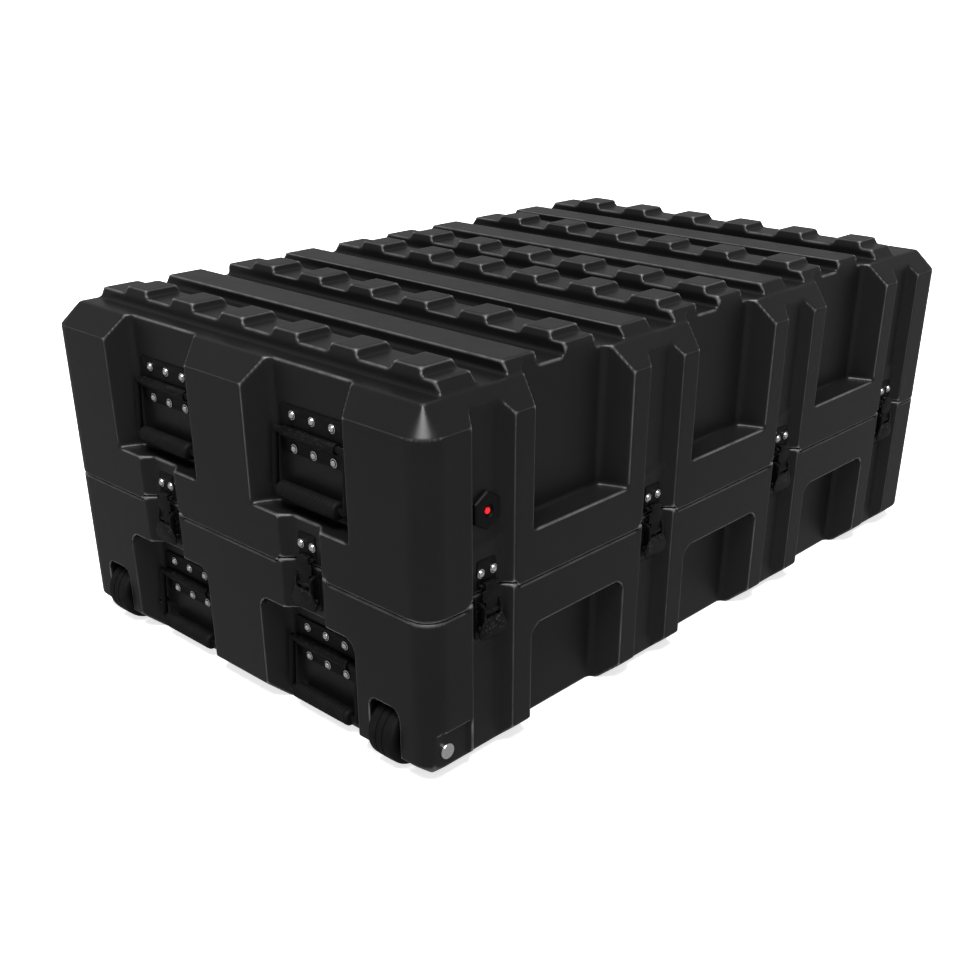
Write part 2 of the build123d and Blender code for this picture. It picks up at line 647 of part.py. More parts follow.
# ---------------------------------------------------------------- wheels
axles = []
nuts = []
for n, s in enumerate((-1, 1), start=1):
    wheel = rod(2 * WHEEL_R, WHEEL_W, "Y", (WHEEL_X, s * WHEEL_Y, WHEEL_Z))
    wheel = fillet(wheel.edges().filter_by(GeomType.CIRCLE), TREAD_ROUND)
    hub_l = (POCKET_W - WHEEL_W) / 2 - HUB_GAP
    for side in (-1, 1):
        rim_at = (WHEEL_X, s * WHEEL_Y + side * WHEEL_W / 2, WHEEL_Z)
        hub_at = (WHEEL_X, s * WHEEL_Y + side * (WHEEL_W + hub_l) / 2, WHEEL_Z)
        wheel -= rod(DISH_D, 2 * DISH_DEEP, "Y", rim_at) - rod(HUB_D, 2 * DISH_DEEP, "Y", rim_at)
        wheel += rod(HUB_FACE_D, hub_l, "Y", hub_at)
    wheel -= rod(AXLE_D + 2 * AXLE_FIT, 90, "Y", (WHEEL_X, s * WHEEL_Y, WHEEL_Z))
    save(wheel, f"wheel_{n}")
    face = HALF_W - AXLE_PAD_D
    inner = WHEEL_Y - POCKET_W / 2 - WALL
    tail = inner - NUT_H - 3
    shank = rod(AXLE_D, face - tail, "Y", (WHEEL_X, s * (face + tail) / 2, WHEEL_Z))
    head = rod(AXLE_HEAD_D, AXLE_HEAD_H, "Y", (WHEEL_X, s * (face + AXLE_HEAD_H / 2), WHEEL_Z))
    crown = head.edges().filter_by(GeomType.CIRCLE).sort_by(Axis.Y)[-1 if s > 0 else 0]
    head = fillet(crown, 2.5)
    axles.append(shank + head)
    hexagon = RegularPolygon(NUT_AF / 2, 6, major_radius=False)
    nut = Rot(90, 0, 0) * extrude(hexagon, NUT_H / 2, both=True)
    nut = Pos(WHEEL_X, s * (inner - NUT_H / 2), WHEEL_Z) * nut
    nuts.append(nut - rod(AXLE_D, 60, "Y", (WHEEL_X, s * (inner - NUT_H / 2), WHEEL_Z)))
    base -= rod(AXLE_D, 200, "Y", (WHEEL_X, s * WHEEL_Y, WHEEL_Z))

# ---------------------------------------------------------------- relief valve
valve_face = -HALF_W + CHANNEL_D
spot = Pos(VALVE_X, valve_face, VALVE_Z)
hexagon = extrude(Plane.XZ * Rot(0, 0, 30) * RegularPolygon(VALVE_AF / 2, 6, major_radius=False), VALVE_H)
hexagon = chamfer(hexagon.faces().sort_by(Axis.Y)[0].edges(), VALVE_EDGE)
stem = rod(VALVE_STEM_D, VALVE_STEM_L, "Y", (0, VALVE_STEM_L / 2, 0))
bore = rod(BUTTON_D + 2 * BUTTON_FIT, 2 * BORE_DEEP, "Y", (0, -VALVE_H, 0))
cup = rod(CUP_D, 2 * CUP_DEEP, "Y", (0, -VALVE_H, 0))
valve = spot * (hexagon + stem - bore - cup)
button_y0 = CUP_DEEP - VALVE_H - BUTTON_PROUD
button = rod(BUTTON_D, BUTTON_L, "Y", (0, button_y0 + BUTTON_L / 2, 0))
button = fillet(button.edges().filter_by(GeomType.CIRCLE).sort_by(Axis.Y)[0], 1.5)
spring_y0 = button_y0 + BUTTON_L + SPRING_WIRE / 2 + 0.05
spring_y1 = -VALVE_H + BORE_DEEP - SPRING_WIRE / 2 - 0.05
pitch = (spring_y1 - spring_y0) / SPRING_TURNS
coil_r = SPRING_D / 2 - SPRING_WIRE / 2
helix = Helix(pitch, spring_y1 - spring_y0, coil_r)
wire = Plane(origin=helix @ 0, z_dir=helix % 0) * Circle(SPRING_WIRE / 2)
coil = sweep(wire, path=helix)
coil = Pos(0, spring_y0, 0) * Rot(-90, 0, 0) * coil
valve_nut = extrude(Plane.XZ * RegularPolygon(VALVE_NUT_AF / 2, 6, major_radius=False), -VALVE_NUT_H)
valve_nut = Pos(0, WALL, 0) * valve_nut
valve_nut -= rod(VALVE_STEM_D, 60, "Y")
lid -= spot * rod(VALVE_STEM_D, 40, "Y")

# ---------------------------------------------------------------- write everything
save(base, "base_shell")
save(lid, "lid_shell")
save(seal, "lid_seal")
save(Compound(children=keepers), "latch_keepers")
save(Compound(children=plates), "latch_plates")
save(Compound(children=pins), "latch_pins")
save(Compound(children=lid_rivets), "lid_rivets")
save(Compound(children=base_rivets), "base_rivets")
save(Compound(children=lid_handles), "lid_handle_plates")
save(Compound(children=base_handles), "base_handle_plates")
save(Compound(children=axles), "wheel_axles")
save(Compound(children=nuts), "wheel_axle_nuts")
save(valve, "valve_body")
save(spot * button, "valve_button")
save(spot * coil, "valve_spring")
save(spot * valve_nut, "valve_nut")
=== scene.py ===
"""Looks of the two-part transit case, laid out as an add-on and run as a script."""

import json
import math

import bmesh
import bpy
from bpy.props import FloatProperty, FloatVectorProperty, IntProperty, PointerProperty
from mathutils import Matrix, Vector


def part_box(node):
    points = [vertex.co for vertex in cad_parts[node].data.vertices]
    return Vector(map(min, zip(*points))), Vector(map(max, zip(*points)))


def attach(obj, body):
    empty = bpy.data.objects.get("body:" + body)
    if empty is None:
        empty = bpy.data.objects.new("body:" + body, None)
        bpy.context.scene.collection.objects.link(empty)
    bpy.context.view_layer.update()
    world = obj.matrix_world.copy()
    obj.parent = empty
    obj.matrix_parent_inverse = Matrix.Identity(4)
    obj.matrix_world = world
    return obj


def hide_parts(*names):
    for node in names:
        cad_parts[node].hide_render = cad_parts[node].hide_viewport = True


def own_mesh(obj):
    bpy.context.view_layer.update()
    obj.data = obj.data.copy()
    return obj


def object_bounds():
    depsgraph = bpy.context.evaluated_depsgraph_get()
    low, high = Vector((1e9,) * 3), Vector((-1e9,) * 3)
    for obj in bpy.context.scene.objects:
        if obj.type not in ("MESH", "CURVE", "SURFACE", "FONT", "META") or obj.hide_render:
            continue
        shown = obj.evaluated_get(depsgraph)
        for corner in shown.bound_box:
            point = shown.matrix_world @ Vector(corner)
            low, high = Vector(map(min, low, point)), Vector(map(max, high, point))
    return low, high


bl_info = {
    "name": "Transit Case Looks",
    "version": (1, 0, 0),
    "blender": (4, 5, 0),
    "location": "3D View > Sidebar > Transit Case",
    "description": "Builds the soft moulded shells, latches, handles, wheels and stage of a transit case",
    "category": "Object",
}

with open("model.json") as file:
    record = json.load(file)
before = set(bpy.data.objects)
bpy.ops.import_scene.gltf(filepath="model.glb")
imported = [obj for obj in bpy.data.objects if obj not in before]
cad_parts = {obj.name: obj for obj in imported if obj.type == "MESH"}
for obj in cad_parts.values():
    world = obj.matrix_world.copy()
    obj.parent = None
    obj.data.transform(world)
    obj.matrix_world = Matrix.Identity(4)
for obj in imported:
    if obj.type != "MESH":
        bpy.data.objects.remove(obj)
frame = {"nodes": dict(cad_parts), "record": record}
CAD_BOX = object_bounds()
NODES = frame["nodes"]
MM = 0.001
FLOOR_REACH = 70.0
RIVET_HEAD = 4.5 * MM
RIVET_SHANK_R = 2.45 * MM
HANDLE_TOP = 0.16  # the base's bright rivets are below this, its blackened ones above


# ---------------------------------------------------------------- shader expressions
class Value:
    """A shader socket that adds Math nodes when it is used in an expression."""

    def __init__(self, shader, socket):
        self.shader = shader
        self.socket = socket

    def _math(self, operation, first, second=None):
        inputs = {0: first}
        if second is not None:
            inputs[1] = second
        return self.shader.node("ShaderNodeMath", {"operation": operation}, inputs)

    def __add__(self, other):
        return self._math("ADD", self, other)

    __radd__ = __add__

    def __sub__(self, other):
        return self._math("SUBTRACT", self, other)

    def __rsub__(self, other):
        return self._math("SUBTRACT", other, self)

    def __mul__(self, other):
        return self._math("MULTIPLY", self, other)

    __rmul__ = __mul__

    def above(self, edge, softness):
        """0 below the edge, 1 above it, over a soft band."""
        return self.shader.node(
            "ShaderNodeMapRange",
            {"interpolation_type": "SMOOTHSTEP", "clamp": True},
            {"Value": self, "From Min": edge - softness, "From Max": edge + softness},
        )

    def clamped(self):
        return self.shader.node("ShaderNodeClamp", {}, {"Value": self})


class Shader:
    """One material and its node tree, built by node()."""

    def __init__(self, name):
        self.material = bpy.data.materials.new(name)
        self.material.use_nodes = True
        self.tree = self.material.node_tree
        self.tree.nodes.clear()
        self.output = self.tree.nodes.new("ShaderNodeOutputMaterial")

    def node(self, kind, settings=None, inputs=None, output=0):
        made = self.tree.nodes.new(kind)
        for key, value in (settings or {}).items():
            setattr(made, key, value)
        for key, value in (inputs or {}).items():
            socket = made.inputs[key]
            if isinstance(value, Value):
                self.tree.links.new(value.socket, socket)
            else:
                socket.default_value = value
        return Value(self, made.outputs[output])

    def coordinates(self):
        """Object coordinates in metres."""
        return self.node("ShaderNodeTexCoord", output="Object")

    def noise(self, where, scale, detail=4.0, roughness=0.55):
        return self.node(
            "ShaderNodeTexNoise",
            {},
            {"Vector": where, "Scale": scale, "Detail": detail, "Roughness": roughness},
        )

    def mix(self, factor, first, second):
        return self.node(
            "ShaderNodeMix",
            {"data_type": "RGBA"},
            {"Factor": factor, 6: first, 7: second},
            output=2,
        )

    def bump(self, height, strength, distance, normal=None):
        inputs = {"Height": height, "Strength": strength, "Distance": distance}
        if normal is not None:
            inputs["Normal"] = normal
        return self.node("ShaderNodeBump", {}, inputs)

    def surface(self, **inputs):
        named = {key.replace("_", " "): value for key, value in inputs.items()}
        shader = self.node("ShaderNodeBsdfPrincipled", {}, named)
        self.tree.links.new(shader.socket, self.output.inputs["Surface"])
        return self.material


def rgba(colour, gain=1.0):
    return (colour[0] * gain, colour[1] * gain, colour[2] * gain, 1.0)


def moulded_plastic(name, colour, edge_highlight_colour, roughness, gloss):
    """Rotomoulded polyethylene: pebbled skin, cloudy sheen, a patchy painted highlight along convex edges,
    painted shade in concave creases and a few fine scuffs.
    """
    s = Shader(name)
    where = s.coordinates()
    cloud = s.noise(where, 5.0, 5.0)
    blotch = s.noise(where, 38.0, 6.0, 0.6)
    pebble = s.noise(where, 900.0, 3.0, 0.6)
    fine = s.noise(where, 2600.0, 2.0)
    lanes = s.node(
        "ShaderNodeMapping", {}, {"Vector": where, "Scale": (14.0, 160.0, 22.0), "Rotation": (0.2, 0.3, 0.9)}
    )
    scuff = s.noise(lanes, 2.0, 6.0, 0.7).above(0.71, 0.035) * blotch.above(0.52, 0.12)
    curve = s.node("ShaderNodeNewGeometry", output="Pointiness")
    # Painted highlight: convex edges (high pointiness) are lightened patchily towards the edge colour, standing
    # in for the bright highlights on the rounded fillets.
    edge = curve.above(0.535, 0.02)
    # Painted shade: concave creases (low pointiness) are darkened towards 0.35 of the plastic colour, standing
    # in for the shade that falls in corners.
    painted_crease_shade = 1 - curve.above(0.475, 0.02)
    painted_edge_highlight = (edge * (0.5 + 0.7 * blotch.above(0.45, 0.25))).clamped()
    base = s.mix(cloud.above(0.5, 0.3), rgba(colour, 0.85), rgba(colour, 1.15))
    dusty = s.mix((scuff * 0.35).clamped(), base, rgba(colour, 2.2))
    shaded = s.mix((painted_crease_shade * 0.6).clamped(), dusty, rgba(colour, 0.35))
    skin = s.mix(painted_edge_highlight, shaded, rgba(edge_highlight_colour))
    rough = roughness + (cloud - 0.5) * 0.1 + (blotch - 0.5) * 0.1 + (pebble - 0.5) * 0.08
    rough = (rough - painted_edge_highlight * 0.06 + scuff * 0.08).clamped()
    normal = s.bump(pebble * 0.7 + fine * 0.3, 0.16, 0.0004)
    normal = s.bump(scuff, 0.1, 0.0003, normal)
    return s.surface(Base_Color=skin, Roughness=rough, Normal=normal, Specular_IOR_Level=gloss)


def coated_steel(name, colour, roughness=0.45):
    """Black powder coat: orange-peel skin, bright bare metal just showing at worn corners."""
    s = Shader(name)
    where = s.coordinates()
    peel = s.noise(where, 700.0, 2.0)
    cloud = s.noise(where, 60.0, 5.0)
    nicks = s.noise(where, 240.0, 7.0, 0.7)
    edge = s.node("ShaderNodeNewGeometry", output="Pointiness").above(0.56, 0.05)
    bare = (edge * nicks.above(0.6, 0.05) * 0.25).clamped()
    coat = s.mix(cloud, rgba(colour, 0.8), rgba(colour, 1.3))
    skin = s.mix(bare, coat, (0.16, 0.16, 0.165, 1.0))
    rough = (roughness + (cloud - 0.5) * 0.22 + (peel - 0.5) * 0.08).clamped()
    normal = s.bump(peel, 0.16, 0.0003)
    return s.surface(
        Base_Color=skin, Roughness=rough, Metallic=bare * 0.8, Normal=normal, Specular_IOR_Level=0.12
    )


def bright_metal(name, colour, roughness=0.24):
    """Zinc-plated fasteners: fine turning marks, faint cloudy tarnish."""
    s = Shader(name)
    where = s.coordinates()
    cloud = s.noise(where, 180.0, 5.0)
    marks = s.noise(
        s.node("ShaderNodeMapping", {}, {"Vector": where, "Scale": (120.0, 120.0, 2400.0)}), 1.0, 3.0
    )
    skin = s.mix(cloud, rgba(colour, 0.8), rgba(colour, 1.05))
    rough = (roughness + (cloud - 0.5) * 0.2 + (marks - 0.5) * 0.12).clamped()
    normal = s.bump(marks, 0.08, 0.0001)
    return s.surface(Base_Color=skin, Roughness=rough, Metallic=1.0, Normal=normal)


def rubber(name, colour, roughness=0.62, speckle=1400.0):
    """Moulded rubber: dull bloom, fine speckle and dusty high spots."""
    s = Shader(name)
    where = s.coordinates()
    cloud = s.noise(where, 45.0, 5.0)
    grit = s.noise(where, speckle, 3.0, 0.65)
    dust = cloud.above(0.58, 0.1) * grit.above(0.52, 0.1)
    skin = s.mix((dust * 0.6).clamped(), rgba(colour), rgba(colour, 2.6))
    rough = (roughness + (cloud - 0.5) * 0.2 + (grit - 0.5) * 0.15).clamped()
    normal = s.bump(grit, 0.25, 0.0004)
    return s.surface(Base_Color=skin, Roughness=rough, Normal=normal, Specular_IOR_Level=0.09)


def glossy_plastic(name, colour, roughness=0.25):
    """Injection-moulded fitting: smooth, slightly cloudy sheen with hairline marks."""
    s = Shader(name)
    where = s.coordinates()
    cloud = s.noise(where, 90.0, 4.0)
    hair = s.noise(
        s.node("ShaderNodeMapping", {}, {"Vector": where, "Scale": (900.0, 60.0, 90.0)}), 1.0, 4.0
    )
    skin = s.mix(cloud, rgba(colour, 0.85), rgba(colour, 1.12))
    rough = (roughness + (cloud - 0.5) * 0.14 + hair.above(0.7, 0.04) * 0.2).clamped()
    normal = s.bump(cloud, 0.05, 0.0002)
    return s.surface(Base_Color=skin, Roughness=rough, Normal=normal, Specular_IOR_Level=0.14)


def studio_floor(name, colour, glow):
    """Seamless lit paper: almost plain, with the faintest tooth."""
    s = Shader(name)
    where = s.coordinates()
    tooth = s.noise(where, 400.0, 4.0)
    drift = s.noise(where, 0.8, 3.0)
    skin = s.mix(drift, rgba(colour, 0.985), rgba(colour, 1.0))
    dull = (0.85 + (tooth - 0.5) * 0.1).clamped()
    return s.surface(
        Base_Color=skin, Roughness=dull, Specular_IOR_Level=0.2, Emission_Color=skin, Emission_Strength=glow
    )


# ---------------------------------------------------------------- mesh helpers
def link(obj):
    bpy.context.scene.collection.objects.link(obj)
    return obj


def finished(obj, body, slot_name, material, *nodes):
    """Hangs a piece on its body and gives it its finish."""
    obj.data.materials.clear()
    obj.data.materials.append(material)
    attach(obj, body)
    if nodes:
        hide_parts(*nodes)
    return obj


def body_of_node(node):
    for body, nodes in frame["record"]["behaviour"]["bodies"].items():
        if node in nodes:
            return body
    raise RuntimeError(f"no body holds {node}")


def applied(obj):
    """Bakes the modifiers of obj into its mesh."""
    depsgraph = bpy.context.evaluated_depsgraph_get()
    mesh = bpy.data.meshes.new_from_object(obj.evaluated_get(depsgraph), depsgraph=depsgraph)
    old = obj.data
    obj.modifiers.clear()
    obj.data = mesh
    mesh.name = obj.name
    bpy.data.meshes.remove(old)
    return obj


def smooth(obj, angle=None):
    for polygon in obj.data.polygons:
        polygon.use_smooth = True
    if angle is not None:
        obj.data.set_sharp_from_angle(angle=math.radians(angle))
    return obj


def welded_copy(node, name):
    """A copy of a CAD node with its seams welded, ready for modifiers."""
    mesh = bpy.data.meshes.new(name)
    work = bmesh.new()
    work.from_mesh(NODES[node].data)
    bmesh.ops.remove_doubles(work, verts=work.verts, dist=0.00002)
    bmesh.ops.dissolve_limit(
        work, angle_limit=math.radians(0.5), verts=work.verts, edges=work.edges
    )
    work.to_mesh(mesh)
    work.free()
    return link(bpy.data.objects.new(name, mesh))


def mesh_object(name, work):
    mesh = bpy.data.meshes.new(name)
    bmesh.ops.recalc_face_normals(work, faces=work.faces)
    work.to_mesh(mesh)
    work.free()
    return link(bpy.data.objects.new(name, mesh))


def lathe(work, profile, centre, axis, steps=64):
    """Turns (along, radius) points about an axis through centre; both ends are closed."""
    axis = Vector(axis).normalized()
    side = axis.orthogonal().normalized()
    up = axis.cross(side)
    rings = []
    for along, radius in profile:
        ring = []
        for k in range(steps):
            turn = 2 * math.pi * k / steps
            spoke = side * math.cos(turn) + up * math.sin(turn)
            ring.append(work.verts.new(centre + axis * along + spoke * radius))
        rings.append(ring)
    for low, high in zip(rings, rings[1:]):
        for k in range(steps):
            n = (k + 1) % steps
            work.faces.new((low[k], low[n], high[n], high[k]))
    work.faces.new(rings[0][::-1])
    work.faces.new(rings[-1])


# ---------------------------------------------------------------- settings
class CaseShellSettings(bpy.types.PropertyGroup):
    voxel: FloatProperty(
        name="Skin spacing", description="Spacing of the moulded skin's mesh", default=2.6 * MM,
        min=0.002, max=0.02, unit="LENGTH",
    )
    softening: IntProperty(
        name="Softening", description="Smoothing passes that round the moulded edges",
        default=4, min=0, max=60
    )
    colour: FloatVectorProperty(
        name="Colour", description="Plastic colour of both halves", default=(0.0045, 0.0045, 0.0047),
        subtype="COLOR", min=0.0, max=1.0,
    )
    # Edge colour: the colour of the painted highlight lightened into the plastic's convex edges.
    painted_edge_highlight: FloatVectorProperty(
        name="Edge colour", description="Colour of the burnished edges", default=(0.085, 0.085, 0.088),
        subtype="COLOR", min=0.0, max=1.0,
    )
    roughness: FloatProperty(
        name="Roughness", description="Dullness of the plastic",
        default=0.37, min=0.0, max=1.0, subtype="FACTOR"
    )
    gloss: FloatProperty(
        name="Gloss", description="Strength of the plastic's reflections", default=0.225, min=0.0, max=1.0,
        subtype="FACTOR",
    )


class HardwareSettings(bpy.types.PropertyGroup):
    bevel: FloatProperty(
        name="Edge round", description="Rounding of stamped steel edges", default=0.5 * MM, unit="LENGTH"
    )
    coat: FloatVectorProperty(
        name="Coat", description="Colour of the powder coat", default=(0.002, 0.002, 0.0022), subtype="COLOR"
    )
    bright: FloatVectorProperty(
        name="Bright metal", description="Colour of rivets and bolts",
        default=(0.8, 0.8, 0.81), subtype="COLOR"
    )


class HandleSettings(bpy.types.PropertyGroup):
    ribs: IntProperty(
        name="Grip ribs", description="Number of moulded ribs on a grip",
        default=15, min=3, max=60
    )
    colour: FloatVectorProperty(
        name="Grip colour", description="Rubber colour of the grips",
        default=(0.003, 0.003, 0.003), subtype="COLOR"
    )


class WheelSettings(bpy.types.PropertyGroup):
    colour: FloatVectorProperty(
        name="Tyre colour", description="Rubber colour of the edge wheels", default=(0.003, 0.003, 0.003),
        subtype="COLOR",
    )
    grooves: IntProperty(
        name="Tread grooves", description="Round grooves in each tread",
        default=2, min=0, max=5
    )


class ValveSettings(bpy.types.PropertyGroup):
    body: FloatVectorProperty(
        name="Body colour", description="Colour of the valve body",
        default=(0.0015, 0.0015, 0.0017), subtype="COLOR"
    )
    button: FloatVectorProperty(
        name="Button colour", description="Colour of the release button", default=(0.75, 0.012, 0.016),
        subtype="COLOR",
    )


class StageSettings(bpy.types.PropertyGroup):
    camera_at: FloatVectorProperty(
        name="Camera", description="Where the camera stands",
        default=(-1.5865, -1.3861, 0.962), subtype="XYZ",
        unit="LENGTH",
    )
    heading: FloatProperty(
        name="Heading", description="Compass direction of the view from +X towards +Y",
        default=math.radians(43.2), subtype="ANGLE",
    )
    dip: FloatProperty(
        name="Dip", description="How far the view points below level",
        default=math.radians(27.7), subtype="ANGLE"
    )
    lens: FloatProperty(name="Lens", description="Focal length in millimetres", default=46.18)
    rise: FloatProperty(name="Rise", description="Vertical lens shift", default=0.1398)
    ambient: FloatProperty(name="Ambient", description="Strength of the light from all round", default=0.34)
    overhead: FloatProperty(name="Overhead", description="Strength of the soft overhead light", default=6.0)
    softness: FloatProperty(
        name="Softness", description="Width of the overhead light", default=math.radians(34), subtype="ANGLE"
    )
    overhead_from: FloatVectorProperty(
        name="Overhead side", description="Direction that the overhead light comes from",
        default=(-0.25, -0.21, 0.94), subtype="DIRECTION",
    )
    floor: FloatVectorProperty(
        name="Floor", description="Colour of the studio floor", default=(0.8, 0.8, 0.8), subtype="COLOR"
    )
    glow: FloatProperty(name="Floor glow", description="Light that the lit floor gives off", default=0.9)


# ---------------------------------------------------------------- operators
class CASE_OT_shells(bpy.types.Operator):
    """Builds the soft moulded lid and base over the CAD shells"""

    bl_idname = "transit_case.shells"
    bl_label = "Moulded Shells"

    def execute(self, context):
        settings = context.scene.case_shells
        plastic = moulded_plastic(
            "case_plastic", settings.colour, settings.painted_edge_highlight, settings.roughness, settings.gloss
        )
        for node, name in (("base_shell", "base_moulding"), ("lid_shell", "lid_moulding")):
            obj = welded_copy(node, name)
            remesh = obj.modifiers.new("skin", "REMESH")
            remesh.mode = "VOXEL"
            remesh.voxel_size = settings.voxel
            remesh.adaptivity = 0.0
            soften = obj.modifiers.new("soften", "SMOOTH")
            soften.factor = 0.5
            soften.iterations = settings.softening
            applied(obj)
            smooth(obj)
            finished(obj, body_of_node(node), "case_plastic", plastic, node)
        seal = rubber("seal_rubber", (0.02, 0.02, 0.02))
        NODES["lid_seal"].data.materials.clear()
        NODES["lid_seal"].data.materials.append(seal)
        return {"FINISHED"}


def rounded_hardware(node, name, width, material, slot_name, segments=2):
    obj = welded_copy(node, name)
    bevel = obj.modifiers.new("edges", "BEVEL")
    bevel.width = width
    bevel.segments = segments
    bevel.limit_method = "ANGLE"
    bevel.angle_limit = math.radians(32)
    bevel.use_clamp_overlap = True
    applied(obj)
    smooth(obj, 38)
    return finished(obj, body_of_node(node), slot_name, material, node)


class CASE_OT_latches(bpy.types.Operator):
    """Builds the keepers, latch plates, levers and hooks"""

    bl_idname = "transit_case.latches"
    bl_label = "Latches"

    def execute(self, context):
        settings = context.scene.case_hardware
        coat = coated_steel("latch_coat", settings.coat)
        for node in ("latch_keepers", "latch_plates"):
            rounded_hardware(node, node + "_stamped", settings.bevel, coat, "black_steel")
        NODES["latch_pins"].data.materials.clear()
        NODES["latch_pins"].data.materials.append(coat)
        for node in sorted(NODES):
            if node.startswith(("latch_lever_", "latch_hook_")):
                rounded_hardware(node, node.replace("latch_", ""), settings.bevel, coat, "black_steel")
        return {"FINISHED"}


class CASE_OT_rivets(bpy.types.Operator):
    """Builds the domed rivets and gives the bolts and nuts their plated finish"""

    bl_idname = "transit_case.rivets"
    bl_label = "Rivets and Bolts"

    def execute(self, context):
        settings = context.scene.case_hardware
        bright = bright_metal("bright_steel", settings.bright)
        coat = coated_steel("rivet_coat", settings.coat)
        for node in ("wheel_axles", "wheel_axle_nuts"):
            mesh = NODES[node].data
            mesh.materials.clear()
            mesh.materials.append(bright)
        for node in ("lid_rivets", "base_rivets"):
            work = bmesh.new()
            for low, high in self.single_rivets(node):
                self.rivet(work, low, high)
            obj = smooth(mesh_object(node + "_domed", work), 40)
            finished(obj, body_of_node(node), "bright_steel", bright, node)
            obj.data.materials.append(coat)
            if node == "base_rivets":
                for polygon in obj.data.polygons:
                    polygon.material_index = int(polygon.center.z > HANDLE_TOP)
        return {"FINISHED"}

    def single_rivets(self, node):
        """The corners of each separate rivet's box."""
        work = bmesh.new()
        work.from_mesh(NODES[node].data)
        bmesh.ops.remove_doubles(work, verts=work.verts, dist=0.00002)
        left = set(work.verts)
        boxes = []
        while left:
            group = [left.pop()]
            for vert in group:
                for edge in vert.link_edges:
                    other = edge.other_vert(vert)
                    if other in left:
                        left.remove(other)
                        group.append(other)
            spots = [vert.co.copy() for vert in group]
            boxes.append((
                Vector([min(spot[i] for spot in spots) for i in range(3)]),
                Vector([max(spot[i] for spot in spots) for i in range(3)]),
            ))
        work.free()
        return boxes

    def rivet(self, work, low, high):
        """Flanged dome with a dimple, head outwards from the middle of the case."""
        size = high - low
        middle = (low + high) / 2
        i = 0 if size.x > size.y else 1
        axis = Vector((0, 0, 0))
        axis[i] = math.copysign(1.0, middle[i])
        radius = size.z / 2
        length = size[i]
        head = RIVET_HEAD
        tip = middle.copy()
        tip[i] += axis[i] * length / 2
        profile = [
            (-length, RIVET_SHANK_R), (-head, RIVET_SHANK_R),
            (-head, radius - 0.2 * MM), (-head + 0.3 * MM, radius),
            (-head + 0.9 * MM, radius), (-head + 1.1 * MM, radius - 0.4 * MM),
            (-head + 0.8 * MM, radius - 1.1 * MM),
        ]
        dome = radius - 1.2 * MM
        for k in range(9):
            turn = math.radians(8 + 9 * k)
            profile.append((-head + 0.9 * MM + 3.6 * MM * math.sin(turn), dome * math.cos(turn)))
        profile += [(-0.35 * MM, 0.7 * MM), (-0.6 * MM, 0.35 * MM)]
        lathe(work, profile, tip, axis, 28)


class CASE_OT_handles(bpy.types.Operator):
    """Builds the handle plates, bails and ribbed rubber grips"""

    bl_idname = "transit_case.handles"
    bl_label = "Handles"

    def execute(self, context):
        hardware = context.scene.case_hardware
        settings = context.scene.case_handles
        coat = coated_steel("handle_coat", hardware.coat)
        grip_rubber = rubber("grip_rubber", settings.colour)
        for node in ("lid_handle_plates", "base_handle_plates"):
            rounded_hardware(node, node + "_stamped", 0.7 * MM, coat, "black_steel")
        for k in range(1, 9):
            mesh = NODES[f"handle_bail_{k}"].data
            mesh.materials.clear()
            mesh.materials.append(coat)
            self.grip(k, settings.ribs, grip_rubber)
        return {"FINISHED"}

    def grip(self, k, ribs, material):
        node = f"handle_grip_{k}"
        low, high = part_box(node)
        centre = (low + high) / 2
        size = high - low
        axis = Vector((1, 0, 0)) if size.x > size.y else Vector((0, 1, 0))
        half = max(size.x, size.y) / 2
        radius = size.z / 2
        work = bmesh.new()
        lathe(work, self.ribbed_profile(half, radius, ribs), centre, axis, 48)
        obj = mesh_object(f"grip_{k}", work)
        smooth(obj, 60)
        finished(obj, body_of_node(node), "grip_rubber", material, node)

    def ribbed_profile(self, half, radius, ribs):
        """End collars with a run of shallow round ribs between them."""
        bore = radius * 0.42
        collar = 0.11 * half
        points = [
            (-half, bore), (-half, radius * 0.8),
            (-half + 2 * MM, radius * 0.97), (-half + collar, radius),
        ]
        length = 2 * (half - collar)
        steps = ribs * 8
        for i in range(1, steps):
            t = i / steps
            wave = 0.5 - 0.5 * math.cos(2 * math.pi * ribs * t)
            points.append((-half + collar + length * t, radius * (0.975 + 0.025 * (1 - wave))))
        points += [(half - collar, radius), (half - 0.002, radius * 0.97), (half, radius * 0.8), (half, bore)]
        return points


